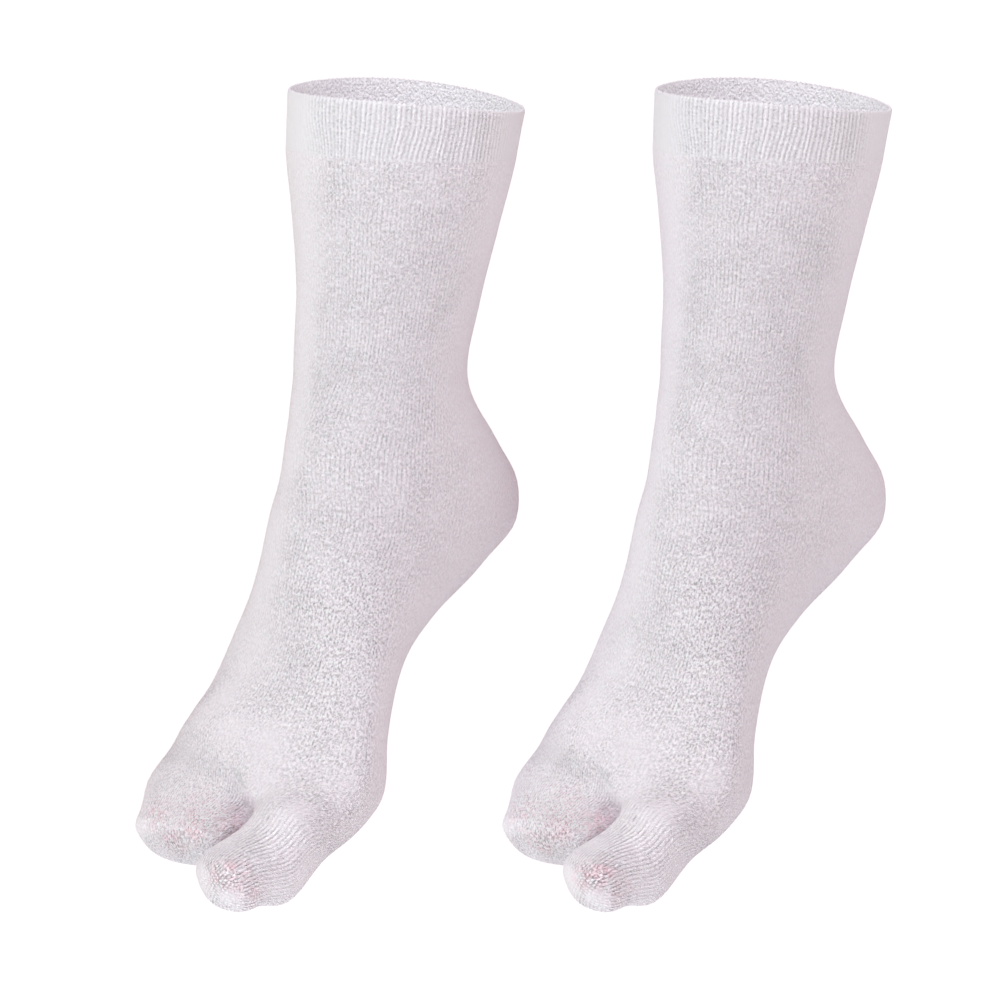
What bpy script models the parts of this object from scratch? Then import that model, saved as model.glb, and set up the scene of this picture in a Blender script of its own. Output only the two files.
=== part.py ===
"""Pair of tabi socks in white knitted cotton, filled out as if worn, with nobody in them.

Metres, +Z up. The two socks stand side by side along X, each turned the same way. The origin
lies midway between the centres of the two leg openings.
"""

import math
from collections import namedtuple

import bmesh
import bpy
import numpy as np
from mathutils import Matrix

MM = 0.001

# Cloth, in millimetres
KNIT_WALL = 1.0  # plain knit of the leg and foot
CUFF_WALL = 1.6  # the cuff is folded double
CROWN = 0.7  # height of the cuff's round folded edge
RIB_DEPTH = 0.4
SEAM_GAP = 0.3

# Knitting: each wale is one upright column of stitches
WALES = 144
CLEFT = 20  # wales from the middle of the inner side to the cleft, on the front and on the sole
WEB_WALES = 12  # wales across the web of the cleft, front to sole
CLEFT_WIDTH = 5.0  # wales on either side of the cleft over which the cloth reaches down into it

# Mesh
WALES_PER_COLUMN = 4
ROW_SPACING = 10.5
CAP_ANGLES = (30, 55, 75)  # degrees round the closed end of a toe pocket

# Placing, in millimetres and degrees
SPAN = 152.3  # between the two leg openings
TURN = 48.0  # the toes point this far to the left of straight ahead

# Rings round the sock, in millimetres and degrees. forward and height place a ring's centre,
# counted from the leg opening. lean tilts its plane from level towards the toes. front, back,
# inner and outer are its half-sizes. The rest stay at nought unless a ring names them: across
# moves a ring to the inner side, skew turns its inner side ahead of the outer one, twist rolls
# the instep towards the inner side, arch makes the sole shallower on the inner side, spread
# widens the inner wales at the outer ones' cost, and reach carries front and sole further towards
# the toes at the cleft. square is the power of the outline, 2 for an ellipse.
Ring = namedtuple(
    "Ring",
    "forward height lean front back inner outer across skew twist square arch spread reach",
    defaults=(0, 0, 0, 2.0, 0, 0, 0),
)
CUFF = {
    "opening": Ring(0, 0, 4, 50, 50, 49, 49, skew=2),
    "cuff foot": Ring(3, -23, 4, 48, 48, 48, 48, skew=-1),
}
TUBE = {
    "cuff foot": CUFF["cuff foot"],
    "calf": Ring(6, -50, 7, 44, 43, 43, 43),
    "shin": Ring(9, -83, 7, 41, 38, 36, 37),
    "ankle": Ring(13, -112, 8, 40, 37, 33, 34),
    "heel top": Ring(14, -134, 12, 42, 58, 33, 34),
    "heel back": Ring(14, -148, 14, 45, 72, 33, 34),
    "heel": Ring(15, -162, 16, 47, 73, 33, 34),
    "heel foot": Ring(20, -182, 18, 48, 55.5, 33, 34, square=2.1),
    "instep": Ring(34, -204, 20, 38, 42, 35, 36, twist=2, square=2.1, arch=0.1, spread=0.1),
    "waist": Ring(47, -226, 24, 28, 29, 38, 40, skew=2, twist=6, square=2.2, arch=0.1, spread=0.2),
    "forefoot": Ring(59, -248, 28, 22, 26, 43, 42, skew=4, twist=11, square=2.3, spread=0.35),
    "ball": Ring(71, -267, 32, 22, 34.5, 50, 44, skew=6, twist=16, square=2.3, spread=0.5),
    "toe root": Ring(
        84, -283.5, 40, 20, 24, 48.5, 47, skew=8, twist=18, square=2.3, spread=0.55, reach=7
    ),
}
BIG_TOE = {
    "joint": Ring(93, -297, 58, 14, 17, 17, 18.5, across=32, skew=4, twist=10),
    "knuckle": Ring(107, -305, 66, 12.5, 22.5, 16.5, 17, across=31, skew=4, twist=5),
    "pad": Ring(122, -308.5, 70, 9, 16.5, 16, 16.5, across=29, skew=6, square=2.4),
}
SMALL_TOES = {
    "joints": Ring(93, -286, 46, 17, 17, 27, 32.5, across=-15, skew=8, twist=15, square=2.3),
    "knuckles": Ring(102, -292, 50, 15, 15, 27.5, 28.5, across=-16, skew=7, twist=12, square=2.3),
    "pads": Ring(109, -297, 45, 13, 17, 26.5, 21, across=-16, skew=-5, twist=9, square=2.6),
}
BIG_TOE_END = 16.0
SMALL_TOES_END = 13.0
BIG_TOE_ARC = 0.36  # share of the way round the big toe's pocket from its inner side to the cleft
SMALL_TOES_ARC = 0.07  # the same for the other toes' pocket, whose inner side is in the cleft


def section(ring, shares):
    """Offsets to the inner side and to the front at these shares of the way round a ring.

    Share 0 is the innermost point, and the shares grow over the front.
    """
    turn = np.linspace(0, 2 * math.pi, 361)
    side = np.sign(np.cos(turn)) * np.abs(np.cos(turn)) ** (2 / ring.square)
    up = np.sign(np.sin(turn)) * np.abs(np.sin(turn)) ** (2 / ring.square)
    shallow = np.where(up > 0, 1, 1 - ring.arch * np.maximum(side, 0))
    across = side * np.where(side > 0, ring.inner, ring.outer)
    ahead = up * np.where(up > 0, ring.front, ring.back) * shallow
    length = np.concatenate([[0], np.cumsum(np.hypot(np.diff(across), np.diff(ahead)))])
    at = np.mod(shares, 1.0) * length[-1]
    return np.interp(at, length, across), np.interp(at, length, ahead)


def axes(ring):
    """Directions on a ring: to the inner side, to the front and towards the toes."""
    lean, skew, twist = (math.radians(v) for v in (ring.lean, ring.skew, ring.twist))
    front = np.array([0, -math.cos(lean), math.sin(lean)])
    ahead = np.array([0, -math.sin(lean), -math.cos(lean)])
    inner = math.cos(skew) * np.array([1.0, 0, 0]) + math.sin(skew) * ahead
    rolled_inner = math.cos(twist) * inner - math.sin(twist) * front
    rolled_front = math.cos(twist) * front + math.sin(twist) * inner
    return rolled_inner, rolled_front, ahead


def placed(ring, across, up):
    """Points of a ring from their offsets on it."""
    inner, front, _ = axes(ring)
    centre = np.array([ring.across, -ring.forward, ring.height])
    return centre + np.outer(across, inner) + np.outer(up, front)


def near_cleft(wales):
    """One at the cleft, on the front and on the sole, fading to nought on both sides of it."""
    away = np.minimum(np.abs(wales - CLEFT), np.abs(wales - WALES + CLEFT))
    return np.exp(-((away / CLEFT_WIDTH) ** 2))


def tube_row(ring, wales):
    """A ring of the leg or foot, with a point at each of these wales."""
    even = wales / WALES
    across, up = section(ring, even + ring.spread / (2 * math.pi) * np.sin(2 * math.pi * even))
    further = np.outer(ring.reach * near_cleft(wales), axes(ring)[2])
    return placed(ring, across, up) + further


def pocket_rows(rings, reach, shares):
    """Rings of a toe pocket at these shares of the way round, closed in a round end."""
    last = rings[-1]
    across, up = section(last, shares)
    ahead = axes(last)[2]
    rows = [placed(ring, *section(ring, shares)) for ring in rings]
    for angle in CAP_ANGLES:
        size = math.cos(math.radians(angle)) ** (2 / last.square)
        on = reach * math.sin(math.radians(angle)) ** (2 / last.square)
        rows.append(placed(last, across * size, up * size) + ahead * on)
    rows.append(placed(last, across * 0, up * 0) + ahead * reach)
    return rows


def smooth(rows, before, after):
    """Rows at an even spacing on smooth curves through these ones, column by column.

    before and after are the rows on either side, which the curves head from and to.
    """
    points = np.array([before, *rows, after])
    steps = np.linalg.norm(np.diff(points, axis=0), axis=2)[..., None] + 1e-6
    slopes = np.diff(points, axis=0) / steps
    blend = steps[:-1] / (steps[:-1] + steps[1:])
    tangents = slopes[:-1] * (1 - blend) + slopes[1:] * blend
    found = [rows[0]]
    for k in range(len(rows) - 1):
        step = steps[k + 1]
        count = max(1, round(float(step.mean()) / ROW_SPACING))
        for t in np.linspace(0, 1, count + 1)[1:]:
            found.append(
                (2 * t**3 - 3 * t**2 + 1) * rows[k]
                + (t**3 - 2 * t**2 + t) * step * tangents[k]
                + (3 * t**2 - 2 * t**3) * rows[k + 1]
                + (t**3 - t**2) * step * tangents[k + 1]
            )
    return found


def spread_evenly(start, end, segments):
    """Shares from start up to, and without, end."""
    return np.linspace(start, end, segments + 1)[:-1]


def sock_rows():
    """The rows of points of the leg and foot, of the big toe's pocket and of the other toes'."""
    wales = np.arange(0, WALES, WALES_PER_COLUMN)
    arc = CLEFT // WALES_PER_COLUMN  # columns on either side of the innermost one
    web = WEB_WALES // WALES_PER_COLUMN
    inner_columns = np.arange(-arc, arc + 1)  # from the sole over the inner side to the front
    outer_columns = np.arange(arc, len(wales) - arc + 1)  # from there over the outer side
    tube = [tube_row(ring, wales) for ring in TUBE.values()]
    tube[0] = tube[0] + axes(TUBE["cuff foot"])[2] * SEAM_GAP
    top = tube_row(CUFF["opening"], wales)

    big_shares = np.concatenate([
        spread_evenly(-BIG_TOE_ARC, BIG_TOE_ARC, 2 * arc),
        spread_evenly(BIG_TOE_ARC, 1 - BIG_TOE_ARC, web),
    ])
    small_shares = np.concatenate([
        spread_evenly(SMALL_TOES_ARC, 1 - SMALL_TOES_ARC, len(outer_columns) - 1),
        spread_evenly(1 - SMALL_TOES_ARC, 1 + SMALL_TOES_ARC, web),
    ])
    big = pocket_rows(list(BIG_TOE.values()), BIG_TOE_END, big_shares)
    small = pocket_rows(list(SMALL_TOES.values()), SMALL_TOES_END, small_shares)

    # Round the cleft the columns run straight on. The web starts in line with them at its two
    # ends, and across them in its middle, so that it makes a smooth saddle.
    root, above = tube[-1], tube[-2]
    below = np.zeros_like(root)
    below[inner_columns] = big[0][: 2 * arc + 1]
    below[outer_columns] = small[0][: len(outer_columns)]
    straight = near_cleft(wales)[:, None]
    below = below * (1 - straight) + (2 * root - above) * straight

    on_web = np.linspace(0, 1, web + 1)[1:-1, None]  # from front to sole
    saddle = np.sin(math.pi * on_web) ** 2
    web_root, web_above = (row[arc] * (1 - on_web) + row[-arc] * on_web for row in (root, above))
    big_web, small_web = big[0][2 * arc + 1 :], small[0][: len(outer_columns) - 1 : -1]
    before_big = web_above * (1 - saddle) + small_web * saddle
    before_small = web_above * (1 - saddle) + big_web * saddle
    big_root = np.concatenate([root[inner_columns], web_root])
    small_root = np.concatenate([root[outer_columns], web_root[::-1]])
    big_above = np.concatenate([above[inner_columns], before_big])
    small_above = np.concatenate([above[outer_columns], before_small[::-1]])
    return (
        smooth(tube, top, below),
        smooth([big_root, *big], big_above, big[-1]),
        smooth([small_root, *small], small_above, small[-1]),
    )


def new_object(name, bm, material, place, collection):
    """Turns a finished mesh in millimetres into an object at its place."""
    bmesh.ops.recalc_face_normals(bm, faces=bm.faces)
    bmesh.ops.scale(bm, vec=(MM, MM, MM), verts=bm.verts)
    mesh = bpy.data.meshes.new(name)
    bm.to_mesh(mesh)
    bm.free()
    mesh.shade_smooth()
    mesh.materials.append(material)
    obj = bpy.data.objects.new(name, mesh)
    obj.matrix_world = place
    collection.objects.link(obj)
    return obj


def add_row(bm, points):
    return [bm.verts.new(p) for p in points]


def loft(bm, first, second):
    """Faces between two closed rows of the same length."""
    for i in range(len(first)):
        j = (i + 1) % len(first)
        bm.faces.new((first[i], first[j], second[j], second[i]))


def sock_body(name, material, place, collection):
    """The leg and foot with both toe pockets: one wall of plain knit, open at the top."""
    tube, big, small = sock_rows()
    bm = bmesh.new()
    rows = [add_row(bm, points) for points in tube]
    for first, second in zip(rows, rows[1:]):
        loft(bm, first, second)
    arc = CLEFT // WALES_PER_COLUMN
    root = rows[-1]
    web = add_row(bm, big[0][2 * arc + 1 :])
    loops = (
        (root[-arc:] + root[: arc + 1] + web, big),
        (root[arc : len(root) - arc + 1] + web[::-1], small),
    )
    for first, pocket in loops:
        for points in pocket[1:-1]:
            second = add_row(bm, points)
            loft(bm, first, second)
            first = second
        tip = bm.verts.new(pocket[-1][0])
        for i in range(len(first)):
            bm.faces.new((first[i], first[(i + 1) % len(first)], tip))
    body = new_object(name, bm, material, place, collection)
    wall = body.modifiers.new("wall", "SOLIDIFY")
    wall.thickness = KNIT_WALL * MM
    wall.offset = -1
    wall.use_even_offset = True


def sock_cuff(name, material, place, collection):
    """The ribbed cuff, folded over at the top: raised ribs outside, plain inside."""
    wales = np.arange(0, WALES, 0.5)
    ribs = np.where(np.arange(len(wales)) % 2 == 0, RIB_DEPTH, 0)
    top, foot = CUFF["opening"], CUFF["cuff foot"]

    def row(ring, grow, rise=0.0):
        across, up = section(ring, wales / WALES)
        size = 1 + grow / np.hypot(across, up)
        return placed(ring, across * size, up * size) - axes(ring)[2] * rise

    bm = bmesh.new()
    rows = [
        add_row(bm, row(foot, ribs)),
        add_row(bm, row(top, ribs)),
        add_row(bm, row(top, -CUFF_WALL / 2, CROWN)),
        add_row(bm, row(top, -CUFF_WALL)),
        add_row(bm, row(foot, -CUFF_WALL)),
    ]
    for first, second in zip(rows, rows[1:] + rows[:1]):
        loft(bm, first, second)
    new_object(name, bm, material, place, collection)


def knit_material(name, colour, roughness):
    material = bpy.data.materials.new(name)
    material.use_nodes = True
    shader = material.node_tree.nodes["Principled BSDF"]
    shader.inputs["Base Color"].default_value = (*colour, 1)
    shader.inputs["Roughness"].default_value = roughness
    shader.inputs["Metallic"].default_value = 0
    return material


def main():
    for obj in list(bpy.data.objects):
        bpy.data.objects.remove(obj)
    socks = bpy.data.collections.new("tabi_socks")
    bpy.context.scene.collection.children.link(socks)
    plain = knit_material("plain_knit", (0.78, 0.75, 0.78), 0.9)
    ribbed = knit_material("ribbed_knit", (0.80, 0.78, 0.81), 0.9)
    turn = Matrix.Rotation(math.radians(-TURN), 4, "Z")
    for name, side in (("first", -1), ("second", 1)):
        place = Matrix.Translation((side * SPAN / 2 * MM, 0, 0)) @ turn
        sock_cuff(f"{name}_sock_cuff", ribbed, place, socks)
        sock_body(f"{name}_sock_body", plain, place, socks)


main()
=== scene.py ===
import math
from types import SimpleNamespace

import bpy
import numpy as np
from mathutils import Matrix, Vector, kdtree, noise


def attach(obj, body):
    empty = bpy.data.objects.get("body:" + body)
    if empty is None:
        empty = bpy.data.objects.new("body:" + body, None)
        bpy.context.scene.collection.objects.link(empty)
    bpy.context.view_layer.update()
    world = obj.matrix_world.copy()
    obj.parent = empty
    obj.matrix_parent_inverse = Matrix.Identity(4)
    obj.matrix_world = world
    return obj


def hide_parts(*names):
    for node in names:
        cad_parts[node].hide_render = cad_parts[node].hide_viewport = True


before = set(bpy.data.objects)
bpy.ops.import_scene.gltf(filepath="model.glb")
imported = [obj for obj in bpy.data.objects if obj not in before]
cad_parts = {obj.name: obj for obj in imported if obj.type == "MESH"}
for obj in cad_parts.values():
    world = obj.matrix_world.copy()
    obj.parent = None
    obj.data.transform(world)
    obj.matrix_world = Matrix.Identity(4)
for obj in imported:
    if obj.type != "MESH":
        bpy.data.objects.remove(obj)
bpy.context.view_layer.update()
bpy.ops.object.select_all(action="DESELECT")
print("frame loaded:", ", ".join(sorted(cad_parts)))

mm = 0.001  # tables are in millimetres and degrees up to the pair

pair = {
    "wales": 144,  # upright columns of stitches round the leg
    "course": 1.25,  # height of one stitch
    "span": 152.3,  # between the two leg openings
    "turn": 48.0,  # the toes point this far to the left
    "wander": 0.3,  # how far a wale strays sideways, in wales
    "sharpFrom": 55.0,  # edges that turn further than this stay sharp
}


def ring(forward, height, lean, front, back, inner, outer, **more):
    # one outline round the sock: where its middle lies, how far its plane tips towards
    # the toes, and its four half-sizes; it is an ellipse with no further turns unless named
    given = dict(across=0, skew=0, twist=0, square=2.0, arch=0, spread=0, reach=0)
    given.update(more)
    place = dict(forward=forward, height=height, lean=lean)
    size = dict(front=front, back=back, inner=inner, outer=outer)
    return SimpleNamespace(**place, **size, **given)


cuffRings = {
    "opening": ring(0, 0, 4, 50, 50, 49, 49, skew=2),
    "foot": ring(3, -23, 4, 48, 48, 48, 48, skew=-1),
}
legRings = {
    "cuff foot": cuffRings["foot"],
    "calf": ring(6, -50, 7, 44, 43, 43, 43),
    "shin": ring(9, -83, 7, 41, 38, 36, 37),
    "ankle": ring(13, -112, 8, 40, 37, 33, 34),
    "heel top": ring(14, -134, 12, 42, 58, 33, 34),
    "heel back": ring(14, -148, 14, 45, 72, 33, 34),
    "heel": ring(15, -162, 16, 47, 73, 33, 34),
    "heel foot": ring(20, -182, 18, 48, 55.5, 33, 34, square=2.1),
    "instep": ring(34, -204, 20, 38, 42, 35, 36, twist=2, square=2.1, arch=0.1, spread=0.1),
    "waist": ring(
        47, -226, 24, 28, 29, 38, 40, skew=2, twist=6, square=2.2, arch=0.1, spread=0.2
    ),
    "forefoot": ring(59, -248, 28, 22, 26, 43, 42, skew=4, twist=11, square=2.3, spread=0.35),
    "ball": ring(71, -267, 32, 22, 34.5, 50, 44, skew=6, twist=16, square=2.3, spread=0.5),
    "toe root": ring(
        84, -283.5, 40, 21, 24, 48.5, 45.5, skew=8, twist=18, square=2.3, spread=0.55, reach=7
    ),
}
bigToeRings = {
    "joint": ring(96, -294, 58, 13.5, 24, 17, 18.5, across=32, skew=4, twist=10),
    "knuckle": ring(107, -305, 66, 14.5, 22.3, 16.5, 17, across=31, skew=4, twist=5),
    "pad": ring(122, -308.5, 70, 10, 17.3, 16, 16.5, across=29, skew=6, square=2.4),
}
smallToeRings = {
    "joints": ring(93, -286, 46, 17, 17, 27, 31, across=-15, skew=8, twist=15, square=2.3),
    "knuckles": ring(
        102, -292, 50, 15, 15, 27.5, 29.3, across=-16, skew=7, twist=12, square=2.3
    ),
    "pads": ring(109, -297, 45, 13, 17, 26.5, 21.8, across=-16, skew=-5, twist=9, square=2.6),
}


def ringSection(r, shares):
    # offsets to the inner side and to the front at these shares of the way round
    turn = np.linspace(0, 2 * math.pi, 721)  # every half degree
    side = np.sign(np.cos(turn)) * np.abs(np.cos(turn)) ** (2 / r.square)
    up = np.sign(np.sin(turn)) * np.abs(np.sin(turn)) ** (2 / r.square)
    shallow = np.where(up > 0, 1, 1 - r.arch * np.maximum(side, 0))
    across = side * np.where(side > 0, r.inner, r.outer)
    ahead = up * np.where(up > 0, r.front, r.back) * shallow
    length = np.concatenate([[0], np.cumsum(np.hypot(np.diff(across), np.diff(ahead)))])
    at = np.mod(shares, 1.0) * length[-1]
    return np.interp(at, length, across), np.interp(at, length, ahead)


def ringAxes(r):
    # directions to the inner side, to the front and towards the toes
    lean, skew, twist = (math.radians(v) for v in (r.lean, r.skew, r.twist))
    front = np.array([0, -math.cos(lean), math.sin(lean)])
    ahead = np.array([0, -math.sin(lean), -math.cos(lean)])
    inner = math.cos(skew) * np.array([1.0, 0, 0]) + math.sin(skew) * ahead
    turnedInner = math.cos(twist) * inner - math.sin(twist) * front
    turnedFront = math.cos(twist) * front + math.sin(twist) * inner
    return turnedInner, turnedFront, ahead


def placeOnRing(r, across, up):
    inner, front, _ = ringAxes(r)
    centre = np.array([r.across, -r.forward, r.height])
    return centre + np.outer(across, inner) + np.outer(up, front)


def smoothStep(low, high, value):
    t = np.clip((value - low) / (high - low), 0, 1)
    return t * t * (3 - 2 * t)


# leg and foot

legAndFoot = {
    "wall": 1.0,
    "columnsPerWale": 4,
    "rowSpacing": 3.3,
    "capSpacing": {"big": 0.65, "small": 1.1},  # between rows on the round ends
    "capPitch": {"big": 2.07, "small": 1.6},  # between wales on the round ends
    "liningSpacing": 2.2,  # rows of the inner wall are this many times further apart
    "liningCapSpacing": {"big": 4.0, "small": 4.0},
    "cleft": 20,  # wales from the innermost one to the cleft, on the front and on the sole
    "webWales": 12,
    "cleftWidth": 5.0,
    "easeRows": 7,  # how far the turn at the roots of the toes is rounded
    "easeWales": 6,
    "easeStrength": 0.8,
    "easeRounds": {"big": 9, "small": 8},
    "capAngles": (30, 55, 75),
    "toeEnds": {"big": 16.0, "small": 13.0},
    "toeArcs": {"big": 0.36, "small": 0.07},
    "ridgeOnLeg": 0.14,  # how far the wales stand out
    "ridgeOnFoot": 0.08,
    "ridgeOnBigToe": 0.4,
    "ridgeOnToes": 0.14,
    "ridgeOnRidged": 2.5,  # this much more where the wales of the toes stand out
    "ridged": ((7, -104, -286, 9.0, 1.0),),  # and where that is
    "bigToePitch": 1.7,  # between two ridges on the end of the big toe
    "netPitch": 1.35,  # between two ridges of the net there, in ridges
    "stray": 0.16,  # how far the big toe's ridges stray
    "noise": {  # size of each unevenness in millimetres, and where it is read
        "drift": (14.0, 3.0),
        "finerDrift": (4.0, 7.0),
        "stray": (1.7, 4.0),
        "depth": (13.0, 9.0),
        "worn": (2.4, 11.0),
    },
    "starts": {  # numbers of the outlines between which a change comes in
        "foot": (7.0, 11.0),
        "toe": (0.3, 1.4),
        "paintedToeLight": (0.0, 2.0),
        "bigToeEnd": (3.6, 5.0),
        "toesEnd": (3.5, 5.5),
    },
    "swells": (  # where the cloth is filled out: x, y, z, reach and height
        (42, -90, -285, 12.0, 3.5),
        (-27, -118, -286, 6.0, 1.0),
        (40.5, -121, -322.5, 7.0, 1.3),
    ),
    # painted glow in the cleft and in the lining near its top, for light through the cloth
    "paintedGlowReach": 4.0,
    "paintedWebGlow": 0.2,
    "paintedLiningGlow": 0.85,
    "paintedLiningGlowReach": 60.0,
    "paintedToeLight": 0.13,  # painted light: the toes are this much paler
    # strength of the painted shade in the hollows between the wales
    "paintedShadeStrength": {"least": 0.35, "bigToe": 0.65, "toeEnd": 0.3, "ridged": 0.5, "lining": 0.4},
    # strength of the fine grain with its painted shade and highlight
    "specksAndPaintedShade": {"leg": 1.12, "foot": 0.75, "toes": 1.5, "bigToe": 1.1, "blush": 1.6},
    "rough": ((28, -57, -200, 24.0, 0.8), (32, -61, -224, 18.0, 0.6)),  # stronger grain, with its painted shade and highlight
    # painted light and painted shade: patches a little lighter and a little darker than the rest
    "paintedLightPatches": ((44, -116, -301, 9.0, 0.08), (-16, -87, -247, 16.0, 0.012)),
    "paintedShadePatches": ((13, -92, -263, 17.0, 0.045), (20, -97, -277, 15.0, 0.03)),
    "blush": (  # pinker patches: x, y, z, reach and strength
        (41, -134, -309, 7.0, 1.0),
        (34, -137, -310, 6.0, 0.8),
        (43, -126, -316, 8.0, 0.5),
        (-1, -119, -295, 8.0, 0.75),
        (-11, -120, -302, 7.0, 0.7),
        (9, -106, -294, 9.0, 0.7),
        (-20, -122, -291, 8.0, 0.55),
        (-3, -113, -288, 14.0, 0.35),
        (0, 45, -165, 40.0, 0.25),
    ),
    "leastBlush": 0.1,
    "pale": (  # smoother patches, where the wales lie flatter and their painted shade is weaker, so they look paler
        (13, -92, -263, 17.0, 0.95),
        (-5, -93, -258, 14.0, 0.85),
        (-18, -85, -244, 15.0, 0.85),
        (-15, -79, -234, 15.0, 0.85),
        (-11, -74, -225, 14.0, 0.8),
        (-25, -93, -253, 13.0, 0.8),
        (-25, -100, -264, 12.0, 0.65),
        (42, -100, -286, 8.0, 0.8),
        (45, -76, -276, 11.0, 0.65),
        (20, -102, -286, 8.0, 0.8),
        (47, -97, -308, 14.0, 0.45),
        (45, -112, -316, 9.0, 0.5),
        (38, -134, -319, 5.5, 0.7),
        (20, -97, -277, 15.0, 0.85),
        (24, -112, -287, 9.0, 0.7),
        (25, -125, -296, 8.0, 0.6),
    ),
}


def nearCleft(wales):
    # one at the cleft on the front and on the sole, fading on both sides of it
    cleft = legAndFoot["cleft"]
    away = np.minimum(np.abs(wales - cleft), np.abs(wales - pair["wales"] + cleft))
    return np.exp(-((away / legAndFoot["cleftWidth"]) ** 2))


def legRow(r, wales):
    even = wales / pair["wales"]
    across, up = ringSection(r, even + r.spread / (2 * math.pi) * np.sin(2 * math.pi * even))
    further = np.outer(r.reach * nearCleft(wales), ringAxes(r)[2])
    return placeOnRing(r, across, up) + further


def toeRows(rings, reach, shares):
    # outlines of a toe pocket and of its round end
    last = rings[-1]
    across, up = ringSection(last, shares)
    ahead = ringAxes(last)[2]
    rows = [placeOnRing(r, *ringSection(r, shares)) for r in rings]
    for angle in legAndFoot["capAngles"]:
        size = math.cos(math.radians(angle)) ** (2 / last.square)
        out = reach * math.sin(math.radians(angle)) ** (2 / last.square)
        rows.append(placeOnRing(last, across * size, up * size) + ahead * out)
    rows.append(placeOnRing(last, across * 0, up * 0) + ahead * reach)
    return rows


def smoothRows(rows, before, after, spacings):
    # evenly spaced rows on smooth curves through the given ones, column by column, with
    # the number of the given row that each one lies at
    points = np.array([before, *rows, after])
    steps = np.linalg.norm(np.diff(points, axis=0), axis=2)[..., None] + 1e-6
    slopes = np.diff(points, axis=0) / steps
    blend = steps[:-1] / (steps[:-1] + steps[1:])
    tangents = slopes[:-1] * (1 - blend) + slopes[1:] * blend
    found = [rows[0]]
    places = [0.0]
    for k in range(len(rows) - 1):
        step = steps[k + 1]
        count = max(1, round(float(step.mean()) / spacings[k]))
        for t in np.linspace(0, 1, count + 1)[1:]:
            found.append(
                (2 * t**3 - 3 * t**2 + 1) * rows[k]
                + (t**3 - 2 * t**2 + t) * step * tangents[k]
                + (3 * t**2 - 2 * t**3) * rows[k + 1]
                + (t**3 - t**2) * step * tangents[k + 1]
            )
            places.append(k + t)
    return np.array(found), np.array(places)


def shareRun(start, end, segments):
    return np.linspace(start, end, segments + 1)[:-1]


def easeJoin(legRows, toeRows, columns, rounds, fade):
    # rounds the turn where a pocket leaves the foot, but not by the cleft
    reach = legAndFoot["easeRows"]
    run = np.concatenate([legRows[-reach:, columns], toeRows[1:reach, : len(columns)]])
    fromEnd = np.minimum(np.arange(len(columns)), np.arange(len(columns))[::-1])
    byColumn = smoothStep(0, fade, fromEnd)
    byRow = np.sin(math.pi * np.arange(1, len(run) - 1) / (len(run) - 1)) ** 2
    weight = legAndFoot["easeStrength"] * byRow[:, None, None] * byColumn[None, :, None]
    for _ in range(rounds):
        run[1:-1] += weight * ((run[:-2] + run[2:]) / 2 - run[1:-1])
    legRows[-reach:, columns] = run[:reach]
    toeRows[:reach, : len(columns)] = run[reach - 1 :]


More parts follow.
